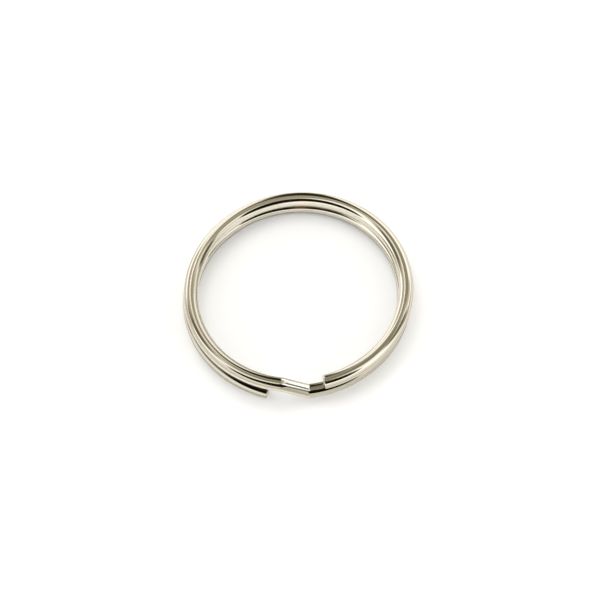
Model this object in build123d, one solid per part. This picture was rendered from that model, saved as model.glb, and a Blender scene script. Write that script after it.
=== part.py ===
"""Split ring: one spring-steel wire coiled into two flat turns that lie on each other.

The frame is the ring's own: +Z is its axis, -Y is the side where the wire steps from one turn to
the other, and the origin is on the axis, midway between the two turns.

Angles are in degrees round the axis, from -Y and growing towards +X. From its upper free end the
wire makes nearly a full upper turn, steps down a straight joggle, and makes nearly a full lower
turn. The last stretch of the lower turn stands away from the upper one, where a key is let in.
"""

import os
from math import asin, cos, radians, sin, tan

from build123d import *

# The ring
RING_OUTER_DIAMETER = 25.0
TURN_GAP = 0.05  # the turns press on each other, and are kept this far apart as one solid
TURN_SHIFT = 0.235  # the lower turn is sprung this far off the upper one's axis, towards -X

# The wire: round wire rolled to an oval, with its ends sheared square
WIRE_WIDTH = 1.6  # along the ring's radius
WIRE_THICKNESS = 1.45  # along the ring's axis

# Where the wire starts, steps down and stops
UPPER_END_ANGLE = 12.5
JOGGLE_TOP_ANGLE = -10.5
JOGGLE_FOOT_ANGLE = 6.5
LOWER_END_ANGLE = -16.0
BEND_REACH = 0.3  # each bend of the joggle starts and ends this far from its corner

# The sprung stretch, up to the lower end
SPRUNG_START_ANGLE = -90.0
SPRUNG_DROP = 0.5  # how far the lower end stands below the rest of its turn

FULL_TURN = 360.0
TURN_RADIUS = (RING_OUTER_DIAMETER - WIRE_WIDTH) / 2
TURN_PITCH = WIRE_THICKNESS + TURN_GAP
UPPER_CENTRE = Vector(0, 0, TURN_PITCH / 2)
LOWER_CENTRE = Vector(-TURN_SHIFT, 0, -TURN_PITCH / 2)
UP = Vector(0, 0, 1)


def outward(angle):
    """Unit vector from the axis towards an angle."""
    return Vector(sin(radians(angle)), -cos(radians(angle)), 0)


def along(angle):
    """Unit vector along a turn, the way the angle grows."""
    return Vector(cos(radians(angle)), sin(radians(angle)), 0)


def wire_section(centre, angle):
    """The wire's oval, upright at a point of a turn."""
    point = centre + outward(angle) * TURN_RADIUS
    plane = Plane(origin=point, x_dir=outward(angle), z_dir=along(angle))
    return (plane * Ellipse(WIRE_WIDTH / 2, WIRE_THICKNESS / 2)).face()


def flat_arc(centre, start_angle, end_angle):
    """A stretch of wire that lies square to the ring's axis."""
    return revolve(wire_section(centre, start_angle), Axis(centre, UP), end_angle - start_angle)


def bend(section, point, heading, new_heading):
    """A bend that turns the wire from one heading to another, and the section at its far end.

    The section lies at point, square to the heading.
    """
    angle = heading.get_angle(new_heading)
    radius = BEND_REACH / tan(radians(angle / 2))
    towards_centre = (new_heading - heading * heading.dot(new_heading)).normalized()
    axis = Axis(point + towards_centre * radius, heading.cross(new_heading))
    return revolve(section, axis, angle), section.rotate(axis, angle)


def joggle():
    """The straight step between the turns, with a bend of the wire at each end."""
    top = UPPER_CENTRE + outward(JOGGLE_TOP_ANGLE) * TURN_RADIUS
    foot = LOWER_CENTRE + outward(JOGGLE_FOOT_ANGLE) * TURN_RADIUS
    top_heading = along(JOGGLE_TOP_ANGLE)
    foot_heading = along(JOGGLE_FOOT_ANGLE)
    top_corner = top + top_heading * BEND_REACH
    foot_corner = foot - foot_heading * BEND_REACH
    step = (foot_corner - top_corner).normalized()
    top_section = wire_section(UPPER_CENTRE, JOGGLE_TOP_ANGLE)
    foot_section = wire_section(LOWER_CENTRE, JOGGLE_FOOT_ANGLE)
    top_bend, step_start = bend(top_section, top, top_heading, step)
    foot_bend, step_end = bend(foot_section, foot, -foot_heading, -step)
    return top_bend + loft([step_start, step_end], ruled=True) + foot_bend


def sprung_arc():
    """The last stretch of the lower turn, which curves down and away from the upper one.

    It leaves its turn tangentially, because its own axis leans from the ring's about the tangent
    there. The lean is the one that brings the lower end down by SPRUNG_DROP.
    """
    arc_angle = LOWER_END_ANGLE - SPRUNG_START_ANGLE
    arc_depth = TURN_RADIUS * (1 - cos(radians(arc_angle)))
    lean = asin(SPRUNG_DROP / arc_depth)
    out = outward(SPRUNG_START_ANGLE)
    towards_start = out * cos(lean) + UP * sin(lean)
    leaning_up = UP * cos(lean) - out * sin(lean)
    start = LOWER_CENTRE + out * TURN_RADIUS
    axis = Axis(start - towards_start * TURN_RADIUS, leaning_up)
    return revolve(wire_section(LOWER_CENTRE, SPRUNG_START_ANGLE), axis, arc_angle)


def split_ring():
    """The whole wire, as one solid."""
    upper_turn = flat_arc(UPPER_CENTRE, UPPER_END_ANGLE, FULL_TURN + JOGGLE_TOP_ANGLE)
    lower_turn = flat_arc(LOWER_CENTRE, JOGGLE_FOOT_ANGLE, FULL_TURN + SPRUNG_START_ANGLE)
    return upper_turn + joggle() + lower_turn + sprung_arc()


os.makedirs("parts", exist_ok=True)
export_step(split_ring(), "parts/split_ring.step")
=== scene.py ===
"""Looks of the split ring: a finely meshed nickel-plated wire, in a white studio with soft cards.

The ring is one wire, so its visual model is one piece. It follows the same path as the CAD wire:
the upper turn, a bend, the straight step, a bend, the lower turn and the sprung stretch. Angles are
in degrees round the ring's axis, from -Y and growing towards +X. Lengths are in metres.
"""

from math import acos, asin, cos, pi, radians, sin, tan

import bpy
import numpy as np
from mathutils import Matrix, Vector


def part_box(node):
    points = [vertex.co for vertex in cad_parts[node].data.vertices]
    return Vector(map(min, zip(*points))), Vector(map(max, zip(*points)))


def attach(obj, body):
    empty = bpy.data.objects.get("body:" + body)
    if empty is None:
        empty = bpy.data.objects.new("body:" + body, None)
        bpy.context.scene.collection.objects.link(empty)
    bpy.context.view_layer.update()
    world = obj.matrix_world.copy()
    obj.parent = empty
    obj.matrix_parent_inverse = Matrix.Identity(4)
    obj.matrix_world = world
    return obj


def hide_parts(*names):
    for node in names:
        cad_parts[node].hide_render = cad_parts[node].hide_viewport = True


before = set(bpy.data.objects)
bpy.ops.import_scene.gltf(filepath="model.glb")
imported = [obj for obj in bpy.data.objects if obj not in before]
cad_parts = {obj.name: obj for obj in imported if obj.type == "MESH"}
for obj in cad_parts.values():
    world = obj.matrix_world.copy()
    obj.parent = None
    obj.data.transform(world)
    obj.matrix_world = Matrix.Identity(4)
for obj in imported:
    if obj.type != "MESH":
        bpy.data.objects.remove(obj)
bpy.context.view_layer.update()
LOW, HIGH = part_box("split_ring")
MM = 0.001
FULL_TURN = 360.0

# The wire, as the CAD model has it
WIRE_WIDTH = 1.6 * MM
TURN_GAP = 0.05 * MM
UPPER_END_ANGLE = 12.5
JOGGLE_TOP_ANGLE = -10.5
JOGGLE_FOOT_ANGLE = 6.5
LOWER_END_ANGLE = -16.0
SPRUNG_START_ANGLE = -90.0
SPRUNG_DROP = 0.5 * MM
BEND_REACH = 0.3 * MM

# What follows from the CAD node's box
OUTER_RADIUS = HIGH.x
TURN_RADIUS = OUTER_RADIUS - WIRE_WIDTH / 2
WIRE_THICKNESS = HIGH.z - TURN_GAP / 2
TURN_PITCH = WIRE_THICKNESS + TURN_GAP
TURN_SHIFT = -LOW.x - OUTER_RADIUS
UP = np.array([0.0, 0.0, 1.0])
UPPER_CENTRE = UP * TURN_PITCH / 2
LOWER_CENTRE = np.array([-TURN_SHIFT, 0.0, -TURN_PITCH / 2])

# Lengths along the wire from its upper end, with the step taken as an arc of the turn
UPPER_LENGTH = radians(FULL_TURN + JOGGLE_TOP_ANGLE - UPPER_END_ANGLE) * TURN_RADIUS
STEP_LENGTH = radians(JOGGLE_FOOT_ANGLE - JOGGLE_TOP_ANGLE) * TURN_RADIUS
LOWER_START = UPPER_LENGTH + STEP_LENGTH
FLAT_LOWER_LENGTH = radians(FULL_TURN + SPRUNG_START_ANGLE - JOGGLE_FOOT_ANGLE) * TURN_RADIUS
SPRUNG_START = LOWER_START + FLAT_LOWER_LENGTH

# Where the painted shade low on the upper turn, above the sprung stretch, starts and is full
OVER_SPRUNG_STARTS = UPPER_LENGTH - np.array([1.1, 1.0]) * TURN_RADIUS

# The mesh
POINTS_ROUND = 96
ARC_STEP = 0.19 * MM
BEND_STATIONS = 16
STRAIGHT_STATIONS = 14
END_ROUNDING = 0.13 * MM
END_ROUND_RINGS = 6
END_FACE_RINGS = 7
END_FACE_REACH = 0.98  # how far towards its middle the last ring of an end face lies

# The plate's tones
DARK_PLATE = (0.46, 0.43, 0.345)
LIGHT_PLATE = (0.82, 0.775, 0.665)
# The next tone is a painted highlight on the top of the step.
PAINTED_HIGHLIGHT_TONE = (0.86, 0.84, 0.79)
# The next tone is painted shade: a dark tone that the plate's colour passes into where shade is
# painted.
PAINTED_SHADE_TONE = (0.10, 0.09, 0.07)

# The plate's drawing lines: how often they change in a metre along, across and up the wire, the
# range that their noise mostly keeps to, and what they do to the relief and the roughness
FINE_LINES = (60.0, 9000.0, 9000.0)
BROAD_LINES = (20.0, 3000.0, 3000.0)
FINE_RANGE = (0.3, 0.7)
BROAD_RANGE = (0.35, 0.65)
FINE_DEPTH = 0.004 * MM
FINE_STRENGTH = 0.25
BROAD_DEPTH = 0.055 * MM
BROAD_STRENGTH = (0.8, 0.1)  # round the wire, and on its cut faces
ROUGHNESS = (0.05, 0.13)

# How far the plate's tone passes into the dark tone of the painted shade in each place, from 0 to 1:
# painted shade, not a duller plate. The plate is as smooth there as elsewhere.
# Painted shade in the groove between the turns, darker on the sprung stretch
GROOVE = 0.25
SPRUNG_GROOVE = 0.95
# Painted shade low on the upper turn above the sprung stretch
OVER_SPRUNG = 0.85
# Painted shade on the flanks and below them
LOWER_INNER_FLANK = 0.6
LOWER_OUTER_FLANK = 0.25
UPPER_FLANK = 0.3
# Painted shade on the step's outer side, and a painted dark line along its top edge
STEP_SIDE = 0.28
STEP_LINE = 0.9

# The heights over which each of those comes in, and the step's also fade out again. A height is a
# share of the wire's half thickness, from -1 at its underside to 1 at its top.
GROOVE_IN = (0.71, 0.79)
OVER_SPRUNG_IN = (-0.2, -0.42)
LOWER_FLANK_IN = (0.45, 0.1)
UPPER_FLANK_IN = (0.1, -0.35)
STEP_SIDE_IN, STEP_SIDE_OUT = (0.2, 0.6), (0.76, 0.84)
STEP_LINE_IN, STEP_LINE_OUT = (0.74, 0.80), (0.88, 0.94)
# The heights over which the painted highlight on the step's top comes in
HIGHLIGHT_TOP_IN = (0.85, 0.93)
CUT_FACE_IN = (0.05, 0.2)  # for a cut face, shares of the way in from its rim

# The studio's tones
WHITE = (1.0, 1.0, 1.0)
PAPER = (0.85, 0.85, 0.85)
WALL = (1.10, 1.06, 0.98)
BLACK = (0.012, 0.008, 0.004)
BROWN = (0.03, 0.024, 0.012)
WARM_BROWN = (0.30, 0.12, 0.04)
WARM = (0.70, 0.27, 0.07)
DARK_OLIVE = (0.15, 0.13, 0.08)
OLIVE = (0.20, 0.18, 0.12)
DULL_TAN = (0.38, 0.35, 0.27)
TAN = (0.46, 0.43, 0.34)
HAZE = (0.75, 0.70, 0.60)
PALE = (1.05, 1.00, 0.90)

CARD_RIM = (0.45, 0.8)  # where a card's tone passes into its rim's, as shares of the way out

# The light and the floor
WORLD_STRENGTH = 1.6
LAMP_POWER = 0.75
FLOOR_TOP_UP = 0.28
FLOOR_HALF_SIZE = 3.0

# The camera: a long lens above the joggle's side, a little tilted
CAMERA_AZIMUTH = 5.0
CAMERA_ELEVATION = 59.75
CAMERA_TILT = -6.65
CAMERA_DISTANCE = 24 * OUTER_RADIUS
CAMERA_LENS = 165.4
SENSOR_WIDTH = 36.0
AIM_RIGHT = 0.134 * MM
AIM_UP = -0.68 * MM


# Directions and places


def unit(vector):
    return vector / np.linalg.norm(vector)


def outward(angle):
    """Unit vector from the axis towards an angle."""
    return np.array([sin(radians(angle)), -cos(radians(angle)), 0.0])


def along(angle):
    """Unit vector along a turn, the way the angle grows."""
    return np.array([cos(radians(angle)), sin(radians(angle)), 0.0])


def towards(azimuth, elevation):
    """Unit vector from the ring towards an azimuth and an elevation."""
    e = radians(elevation)
    return outward(azimuth) * cos(e) + UP * sin(e)


def facing_axes(azimuth, elevation, tilt):
    """Right, up and back of what looks at the ring from there, tilted about the line of sight."""
    back = towards(azimuth, elevation)
    right = along(azimuth)
    above = np.cross(back, right)
    t = radians(tilt)
    return right * cos(t) + above * sin(t), above * cos(t) - right * sin(t), back


def placing(right, up, back, place):
    """The matrix of an object with these axes at a place."""
    return Matrix([[right[i], up[i], back[i], place[i]] for i in range(3)] + [[0, 0, 0, 1]])


def linked(name, data):
    """A new object, linked to the scene."""
    piece = bpy.data.objects.new(name, data)
    bpy.context.scene.collection.objects.link(piece)
    return piece


# The wire's path. A station is a point of it, with the way out and the way up of its section. The
# functions below give rows of stations, as arrays of points, outs and ups.


def turned(vector, axis, angles):
    """A vector turned about a unit axis by each of the angles, in radians."""
    c, s = np.cos(angles)[:, None], np.sin(angles)[:, None]
    return vector * c + np.cross(axis, vector) * s + axis * (axis @ vector) * (1 - c)


def arc(station, centre, axis, angle, count):
    """A station turned about an axis through a centre, by up to an angle in radians."""
    angles = np.linspace(0, angle, count)
    point, out, up = station
    points = centre + turned(point - centre, axis, angles)
    return points, turned(out, axis, angles), turned(up, axis, angles)


def bend(station, heading, new_heading):
    """A bend that turns the wire from one heading to another."""
    angle = acos(heading @ new_heading)
    radius = BEND_REACH / tan(angle / 2)
    towards_centre = unit(new_heading - heading * (new_heading @ heading))
    axis = unit(np.cross(heading, new_heading))
    return arc(station, station[0] + towards_centre * radius, axis, angle, BEND_STATIONS)


def turn_station(centre, angle):
    """The station of a turn at an angle."""
    return centre + outward(angle) * TURN_RADIUS, outward(angle), UP


def turn_arc(centre, start_angle, end_angle):
    """A stretch that lies square to the ring's axis."""
    angle = radians(end_angle - start_angle)
    count = round(angle * TURN_RADIUS / ARC_STEP)
    return arc(turn_station(centre, start_angle), centre, UP, angle, count)


def joggle():
    """The step between the turns: a bend, a straight and a bend back.

    The stations where it meets the turns are left to them.
    """
    top = turn_station(UPPER_CENTRE, JOGGLE_TOP_ANGLE)
    foot = turn_station(LOWER_CENTRE, JOGGLE_FOOT_ANGLE)
    top_heading, foot_heading = along(JOGGLE_TOP_ANGLE), along(JOGGLE_FOOT_ANGLE)
    step = unit(foot[0] - foot_heading * BEND_REACH - top[0] - top_heading * BEND_REACH)
    top_bend = bend(top, top_heading, step)
    foot_bend = bend(foot, -foot_heading, -step)
    share = np.linspace(0, 1, STRAIGHT_STATIONS + 2)[1:-1, None]
    straight = [(1 - share) * a[-1] + share * b[-1] for a, b in zip(top_bend, foot_bend)]
    return [[row[1:] for row in top_bend], straight, [row[::-1][:-1] for row in foot_bend]]


def sprung_arc():
    """The stretch that curves down and away from the upper turn."""
    arc_angle = radians(LOWER_END_ANGLE - SPRUNG_START_ANGLE)
    lean = asin(SPRUNG_DROP / (TURN_RADIUS * (1 - cos(arc_angle))))
    start = turn_station(LOWER_CENTRE, SPRUNG_START_ANGLE)
    towards_start = start[1] * cos(lean) + UP * sin(lean)
    leaning_up = UP * cos(lean) - start[1] * sin(lean)
    count = round(arc_angle * TURN_RADIUS / ARC_STEP)
    stations = arc(start, start[0] - towards_start * TURN_RADIUS, leaning_up, arc_angle, count)
    return [row[1:] for row in stations]


def wire_stations():
    """All stations from the upper end to the lower end."""
    stretches = [
        turn_arc(UPPER_CENTRE, UPPER_END_ANGLE, FULL_TURN + JOGGLE_TOP_ANGLE),
        *joggle(),
        turn_arc(LOWER_CENTRE, JOGGLE_FOOT_ANGLE, FULL_TURN + SPRUNG_START_ANGLE),
        sprung_arc(),
    ]
    return [np.concatenate(rows) for rows in zip(*stretches)]


# The wire's mesh. A ring of vertices is a station with its length along the wire and its inset,
# which is how far it lies inside the wire's oval.


def end_rings(point, out, up, way, length, sign):
    """Rings of one end: the rounding of its rim, and then the flat face, shrinking to its middle."""
    rings = []
    for i in range(1, END_ROUND_RINGS + 1):
        turn = pi / 2 * i / END_ROUND_RINGS
        reach = END_ROUNDING * (sin(turn) - 1)
        inset = END_ROUNDING * (1 - cos(turn))
        rings.append((point + way * reach, out, up, length + sign * reach, inset))
    last_inset = END_FACE_REACH * WIRE_THICKNESS / 2
    for i in range(1, END_FACE_RINGS + 1):
        inset = END_ROUNDING + (last_inset - END_ROUNDING) * i / END_FACE_RINGS
        rings.append((point, out, up, length, inset))
    return rings


def wire_rings():
    """Rings of the whole wire, from the middle of its upper end's face to that of its lower one."""
    points, outs, ups = wire_stations()
    ways = [unit(way) for way in np.gradient(points, axis=0)]
    steps = np.linalg.norm(np.diff(points, axis=0), axis=1)
    lengths = np.concatenate([[0], np.cumsum(steps)])
    total = lengths[-1]
    between_ends = [
        (point, out, up, length, 0.0)
        for point, out, up, length in zip(points, outs, ups, lengths)
        if END_ROUNDING < length < total - END_ROUNDING
    ]
    upper_end = end_rings(points[0], outs[0], ups[0], -ways[0], 0.0, -1)
    lower_end = end_rings(points[-1], outs[-1], ups[-1], ways[-1], total, 1)
    return upper_end[::-1] + between_ends + lower_end


def ring_vertices(rings):
    """Vertices of the rings, and where each would lie if the wire were straight.

    That place is its length along the wire, across it from its middle, and up from its middle.
    """
    turn = np.linspace(0, 2 * pi, POINTS_ROUND, endpoint=False)
    vertices, straight = [], []
    for point, out, up, length, inset in rings:
        across = (WIRE_WIDTH / 2 - inset) * np.cos(turn)
        height = (WIRE_THICKNESS / 2 - inset) * np.sin(turn)
        vertices.append(point + across[:, None] * out + height[:, None] * up)
        straight.append(np.stack([np.full(POINTS_ROUND, length), across, height], axis=1))
    return np.concatenate(vertices), np.concatenate(straight)


def tube_faces(ring_count):
    """Faces of a row of rings, closed at both ends, that look outwards."""
    faces = []
    for ring in range(ring_count - 1):
        for i in range(POINTS_ROUND):
            a = ring * POINTS_ROUND + i
            b = ring * POINTS_ROUND + (i + 1) % POINTS_ROUND
            faces.append((a, a + POINTS_ROUND, b + POINTS_ROUND, b))
    last_ring = range((ring_count - 1) * POINTS_ROUND, ring_count * POINTS_ROUND)
    return faces + [tuple(range(POINTS_ROUND)), tuple(reversed(last_ring))]


def add_attribute(mesh, name, kind, field, values):
    """Give each vertex a value, or a vector."""
    attribute = mesh.attributes.new(name, kind, "POINT")
    attribute.data.foreach_set(field, values.astype(np.float32).ravel())


def wire_object():
    """The wire as a Blender object, with what its plate goes by as attributes."""
    rings = wire_rings()
    vertices, straight = ring_vertices(rings)
    faces = tube_faces(len(rings))
    mesh = bpy.data.meshes.new("ring_wire")
    mesh.from_pydata(vertices.tolist(), [], faces)
    mesh.polygons.foreach_set("use_smooth", [True] * len(faces))
    add_attribute(mesh, "straight_wire", "FLOAT_VECTOR", "vector", straight)
    # Painted shade, as a share at each vertex
    add_attribute(mesh, "painted_shade", "FLOAT", "value", painted_shade_share(straight))
    # A painted highlight on the step's top
    add_attribute(mesh, "painted_highlight", "FLOAT", "value", painted_highlight_share(straight))
    add_attribute(mesh, "cut", "FLOAT", "value", cut_share(straight))
    mesh.update()
    mesh.materials.append(nickel())
    return linked("ring_wire", mesh)


# Where the plate's tone is painted: painted shade, and a painted highlight on the step


def smooth_step(value, start, end):
    """0 before the start, 1 past the end and soft between. The start may be the higher one."""
    share = np.clip((value - start) / (end - start), 0, 1)
    return share * share * (3 - 2 * share)


def height_share(straight):
    """How high each vertex lies, from -1 at the wire's underside to 1 at its top."""
    return straight[:, 2] / (WIRE_THICKNESS / 2)


def step_share(length):
    """How far into the step each vertex lies, from 0 at its ends to 1 past its bends."""
    into_step = np.minimum(length - UPPER_LENGTH, LOWER_START - length)
    return smooth_step(into_step, 0.0, BEND_REACH)


def groove_painted_shade(length, height):
    """Painted shade in the groove between the turns, and most of all on the sprung stretch."""
    on_turn = (length < UPPER_LENGTH) | (length > LOWER_START)
    towards_groove = np.where(length < UPPER_LENGTH, -height, height)
    painted_shade = np.where(length > SPRUNG_START, SPRUNG_GROOVE, GROOVE)
    return painted_shade * smooth_step(towards_groove, *GROOVE_IN) * on_turn


def over_sprung_painted_shade(length, height):
    """Painted shade low on the upper turn, where it lies above the sprung stretch."""
    over_it = smooth_step(length, *OVER_SPRUNG_STARTS) * (length < UPPER_LENGTH)
    return OVER_SPRUNG * over_it * smooth_step(height, *OVER_SPRUNG_IN)


def flank_painted_shade(length, across, height):
    """Painted shade on the flanks and below, most of all on the lower turn's inner side."""
    lower_flank = np.where(across < 0, LOWER_INNER_FLANK, LOWER_OUTER_FLANK)
    lower = lower_flank * smooth_step(height, *LOWER_FLANK_IN)
    upper = UPPER_FLANK * smooth_step(height, *UPPER_FLANK_IN)
    return np.where(length > LOWER_START, lower, upper)


def step_side_painted_shade(length, across, height):
    """Painted shade on the step's outer side, with a painted dark line along its top edge."""
    side = smooth_step(height, *STEP_SIDE_IN) * (1 - smooth_step(height, *STEP_SIDE_OUT))
    line = smooth_step(height, *STEP_LINE_IN) * (1 - smooth_step(height, *STEP_LINE_OUT))
    return step_share(length) * (across > 0) * np.maximum(STEP_SIDE * side, STEP_LINE * line)


def painted_shade_share(straight):
    """How far the plate's tone is darkened by painted shade at each vertex."""
    length, across, _ = straight.T
    height = height_share(straight)
    return np.maximum.reduce([
        groove_painted_shade(length, height),
        over_sprung_painted_shade(length, height),
        flank_painted_shade(length, across, height),
        step_side_painted_shade(length, across, height),
    ])


def painted_highlight_share(straight):
    """How far each vertex lies on the top of the step, where a painted highlight makes it brighter
    than the rest.
    """
    return step_share(straight[:, 0]) * smooth_step(height_share(straight), *HIGHLIGHT_TOP_IN)


def cut_share(straight):
    """How far each vertex lies on a cut end face, where the broad lines' relief nearly stops."""
    from_middle = np.hypot(straight[:, 1] / (WIRE_WIDTH / 2), height_share(straight))
    return smooth_step(1 - from_middle, *CUT_FACE_IN)


# Materials


def opaque(colour):
    return (*colour, 1)


class Nodes:
    """A short way to build a node tree.

    add, and each method that uses it, gives one output of the node that it added last.
    """

    def __init__(self, tree):
        self.tree = tree
        tree.nodes.clear()

    def node(self, kind, inputs, settings):
        node = self.tree.nodes.new(kind)
        for name, value in settings.items():
            setattr(node, name, value)
        for name, value in inputs.items():
            if isinstance(value, bpy.types.NodeSocket):
                self.tree.links.new(value, node.inputs[name])
            else:
                node.inputs[name].default_value = value
        return node

    def add(self, kind, inputs=None, output=0, **settings):
        return self.node(kind, inputs or {}, settings).outputs[output]

    def finish(self, kind, surface):
        """Add the tree's output node."""
        self.node(kind, {"Surface": surface}, {})

    def attribute(self, name, output="Fac"):
        return self.add("ShaderNodeAttribute", output=output, attribute_name=name)

    def total(self, a, b):
        return self.add("ShaderNodeMath", {0: a, 1: b}, operation="ADD")

    def product(self, a, b):
        return self.add("ShaderNodeMath", {0: a, 1: b}, operation="MULTIPLY")

    def blend(self, share, colour, other):
        """One colour where the share is 0, and the other where it is 1."""
        inputs = {"Factor": share, 6: colour, 7: other}
        return self.add("ShaderNodeMix", inputs, output=2, data_type="RGBA")

    def remap(self, value, start, end, low=0.0, high=1.0, kind="LINEAR"):
        """Low up to the start, high from the end on, and a passage between them."""
        inputs = {"Value": value, "From Min": start, "From Max": end, "To Min": low, "To Max": high}
        return self.add("ShaderNodeMapRange", inputs, interpolation_type=kind)

    def noise(self, place, scale, detail):
        """Noise that is stretched by its own scale each way."""
        stretched = self.add("ShaderNodeMapping", {"Vector": place, "Scale": scale})
        inputs = {"Vector": stretched, "Scale": 1.0, "Detail": detail}
        return self.add("ShaderNodeTexNoise", inputs)


def new_material(name):
    material = bpy.data.materials.new(name)
    material.use_nodes = True
    return material, Nodes(material.node_tree)


def plate_tone(nodes, broad):
    """The plate's colour, darker and lighter in broad lines, with a painted highlight and painted
    shade.
    """
    lines = nodes.remap(broad, *BROAD_RANGE)
    tone = nodes.blend(lines, opaque(DARK_PLATE), opaque(LIGHT_PLATE))
    # A painted highlight on the step's top.
    tone = nodes.blend(nodes.attribute("painted_highlight"), tone, opaque(PAINTED_HIGHLIGHT_TONE))
    # Painted shade darkens the tone where it is painted.
    return nodes.blend(nodes.attribute("painted_shade"), tone, opaque(PAINTED_SHADE_TONE))


def plate_relief(nodes, fine, broad):
    """The drawing lines' relief. The broad one nearly stops on the cut faces."""
    inputs = {"Height": fine, "Strength": FINE_STRENGTH, "Distance": FINE_DEPTH}
    normal = nodes.add("ShaderNodeBump", inputs)
    strength = nodes.remap(nodes.attribute("cut"), 0.0, 1.0, *BROAD_STRENGTH)
    inputs = {"Height": broad, "Strength": strength, "Distance": BROAD_DEPTH, "Normal": normal}
    return nodes.add("ShaderNodeBump", inputs)


def nickel():
    """Bright nickel plate over drawn steel wire."""
    material, nodes = new_material("nickel_plate")
    place = nodes.attribute("straight_wire", "Vector")
    fine = nodes.noise(place, FINE_LINES, detail=3.0)
    broad = nodes.noise(place, BROAD_LINES, detail=1.0)
    shader = nodes.add(
        "ShaderNodeBsdfPrincipled",
        {
            "Base Color": plate_tone(nodes, broad),
            "Metallic": 1.0,
            "Roughness": nodes.remap(fine, *FINE_RANGE, *ROUGHNESS),
            "Normal": plate_relief(nodes, fine, broad),
        },
    )
    nodes.finish("ShaderNodeOutputMaterial", shader)
    return material


def floor_paper():
    """White paper. A little glow tops it up to white where the camera sees it or metal shows it."""
    material, nodes = new_material("floor_paper")
    rays = nodes.node("ShaderNodeLightPath", {}, {}).outputs
    seen = nodes.total(rays["Is Camera Ray"], rays["Is Glossy Ray"])
    seen = nodes.total(seen, rays["Is Transmission Ray"])
    top_up = nodes.product(seen, FLOOR_TOP_UP)
    paper = nodes.add("ShaderNodeBsdfDiffuse", {"Color": opaque(PAPER)})
    glow = nodes.add("ShaderNodeEmission", {"Color": opaque(WHITE), "Strength": top_up})
    both = nodes.add("ShaderNodeAddShader", {0: paper, 1: glow})
    nodes.finish("ShaderNodeOutputMaterial", both)
    return material


def fading_glow(nodes, tone, cover):
    """End a material that glows in a tone where the cover is 1, and is clear where it is 0."""
    clear = nodes.add("ShaderNodeBsdfTransparent")
    glow = nodes.add("ShaderNodeEmission", {"Color": tone, "Strength": 1.0})
    both = nodes.add("ShaderNodeMixShader", {0: cover, 1: clear, 2: glow})
    nodes.finish("ShaderNodeOutputMaterial", both)


def card_material(name, tone, rim_tone, softness):
    """A card's tone in its middle, its rim's tone further out, and clear at its edge."""
    material, nodes = new_material(name)
    place = nodes.add("ShaderNodeTexCoord", output="Object")
    distance = nodes.add("ShaderNodeVectorMath", {0: place}, output="Value", operation="LENGTH")
    rim = nodes.remap(distance, *CARD_RIM, kind="SMOOTHSTEP")
    cover = nodes.remap(distance, 1 - softness, 1.0, 1.0, 0.0, kind="SMOOTHSTEP")
    fading_glow(nodes, nodes.blend(rim, opaque(tone), opaque(rim_tone)), cover)
    return material


def wall_material(fade_start, fade_end):
    """The wall's glow, which fades out upwards between two heights."""
    material, nodes = new_material("horizon")
    place = nodes.add("ShaderNodeTexCoord", output="Object")
    height = nodes.add("ShaderNodeSeparateXYZ", {0: place}, output="Z")
    cover = nodes.remap(height, fade_start, fade_end, 1.0, 0.0, kind="SMOOTHSTEP")
    fading_glow(nodes, opaque(WALL), cover)
    return material


# The studio


def make_floor():
    """The floor that the ring rests on.

    The ring stands on its sprung end and on the far side of its lower turn, so in the ring's own
    frame the floor leans by the sprung end's drop across the ring.
    """
    half = FLOOR_HALF_SIZE
    lean_way = outward(LOWER_END_ANGLE)
    slope = SPRUNG_DROP / (2 * TURN_RADIUS)
    height = -TURN_PITCH / 2 - WIRE_THICKNESS / 2 - SPRUNG_DROP / 2
    corners = [(-half, -half), (half, -half), (half, half), (-half, half)]
    vertices = [(x, y, height - slope * (x * lean_way[0] + y * lean_way[1])) for x, y in corners]
    mesh = bpy.data.meshes.new("floor")
    mesh.from_pydata(vertices, [], [(0, 1, 2, 3)])
    mesh.materials.append(floor_paper())
    floor = linked("floor", mesh)


def make_world():
    """An even white all round."""
    world = bpy.data.worlds.new("studio")
    world.use_nodes = True
    nodes = Nodes(world.node_tree)
    inputs = {"Color": opaque(WHITE), "Strength": WORLD_STRENGTH}
    nodes.finish("ShaderNodeOutputWorld", nodes.add("ShaderNodeBackground", inputs))
    bpy.context.scene.world = world


def card(name, place, half_size, tones, softness, distance, tilt=0):
    """An oval card that faces the ring, from which it is seen at an azimuth and an elevation.

    Its half width and half height are angles as seen from the ring. The softness is the share of
    the card over which it fades out. The ring's metal shows the card, and the camera doesn't.
    """
    wide, high, way = facing_axes(*place, tilt)
    wide = wide * distance * tan(radians(half_size[0]))
    high = high * distance * tan(radians(half_size[1]))
    mesh = bpy.data.meshes.new(name)
    mesh.from_pydata([(-1, -1, 0), (1, -1, 0), (1, 1, 0), (-1, 1, 0)], [], [(0, 1, 2, 3)])
    mesh.materials.append(card_material(name, *tones, softness))
    piece = linked(name, mesh)
    piece.matrix_world = placing(wide, high, way, way * distance)
    piece.visible_camera = False


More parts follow.
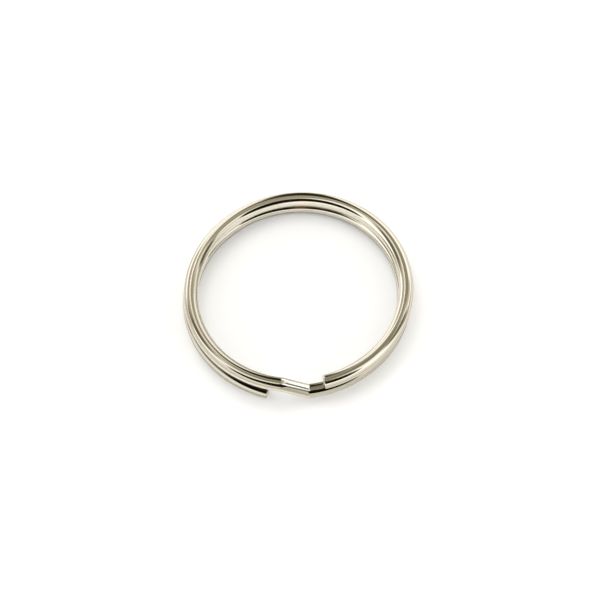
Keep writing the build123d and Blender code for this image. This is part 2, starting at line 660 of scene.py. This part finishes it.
def make_cards():
    """Dark and pale cards round the ring, for its metal to show."""
    card("camera_side", (-6, 51), (46, 27), (BLACK, BROWN), 0.2, 0.50, tilt=-6)
    card("camera_top", (-2, 67), (19, 14), (BROWN, DARK_OLIVE), 0.4, 0.48)
    card("warm_spot", (-8, 37), (8, 5), (WARM, WARM_BROWN), 0.6, 0.45)
    card("back_gap", (-179, 34), (11, 37), (BROWN, DARK_OLIVE), 0.3, 0.55)
    card("right_side", (96, 39), (15, 27), (OLIVE, DULL_TAN), 0.5, 0.60)
    card("right_low", (104, 14), (15, 10), (TAN, HAZE), 0.4, 0.62)
    card("right_back", (123, 39), (9, 11), (HAZE, HAZE), 0.4, 0.58)
    card("right_high", (84, 64), (9, 9), (TAN, HAZE), 0.4, 0.62)
    card("right_slot", (125, 58), (12, 7), (PALE, HAZE), 0.6, 0.56)
    card("left_side", (-111, 45), (18, 25), (OLIVE, HAZE), 0.5, 0.60)
    card("left_back", (-140, 44), (13, 14), (HAZE, HAZE), 0.3, 0.58)
    card("left_low", (-108, 14), (12, 12), (HAZE, HAZE), 0.4, 0.62)
    card("left_slot", (-150, 62), (20, 6), (PALE, HAZE), 0.6, 0.56)
    card("ceiling", (155, 80), (28, 22), (TAN, TAN), 0.3, 0.70)
    card("back_haze", (158, 52), (26, 19), (TAN, HAZE), 0.5, 0.75)


def make_horizon():
    """A low wall round the studio, which the ring's metal shows, and the camera doesn't see."""
    radius, low, fade_start, high, sides = 1.0, -0.05, 0.06, 0.42, 48
    turns = [2 * pi * i / sides for i in range(sides)]
    vertices = [(radius * cos(a), radius * sin(a), z) for z in (low, high) for a in turns]
    faces = [(i, (i + 1) % sides, sides + (i + 1) % sides, sides + i) for i in range(sides)]
    mesh = bpy.data.meshes.new("horizon")
    mesh.from_pydata(vertices, [], faces)
    mesh.materials.append(wall_material(fade_start, high))
    wall = linked("horizon", mesh)
    wall.visible_camera = False


def make_lamp():
    """A soft lamp above the ring and a little behind it, for its shadow. It isn't mirrored."""
    azimuth, elevation, distance = 190, 74, 0.5
    data = bpy.data.lights.new("back_lamp", "AREA")
    data.shape = "DISK"
    data.size = 0.35
    data.energy = LAMP_POWER
    lamp = linked("back_lamp", data)
    way = Vector(towards(azimuth, elevation))
    lamp.location = way * distance
    lamp.rotation_euler = way.to_track_quat("Z", "Y").to_euler()
    lamp.visible_glossy = False
    lamp.visible_camera = False


def make_camera():
    """The camera, at the viewing angle that shows the step in front."""
    right, up, back = facing_axes(CAMERA_AZIMUTH, CAMERA_ELEVATION, CAMERA_TILT)
    aim = right * AIM_RIGHT + up * AIM_UP
    data = bpy.data.cameras.new("camera")
    data.lens = CAMERA_LENS
    data.sensor_width = SENSOR_WIDTH
    data.clip_start, data.clip_end = 0.01, 10.0
    camera = linked("camera", data)
    camera.matrix_world = placing(right, up, back, aim + back * CAMERA_DISTANCE)
    bpy.context.scene.camera = camera


ring_wire = wire_object()
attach(ring_wire, "root")
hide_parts("split_ring")
make_floor()
make_world()
make_cards()
make_horizon()
make_lamp()
make_camera()
bpy.context.scene.view_settings.view_transform = "Standard"
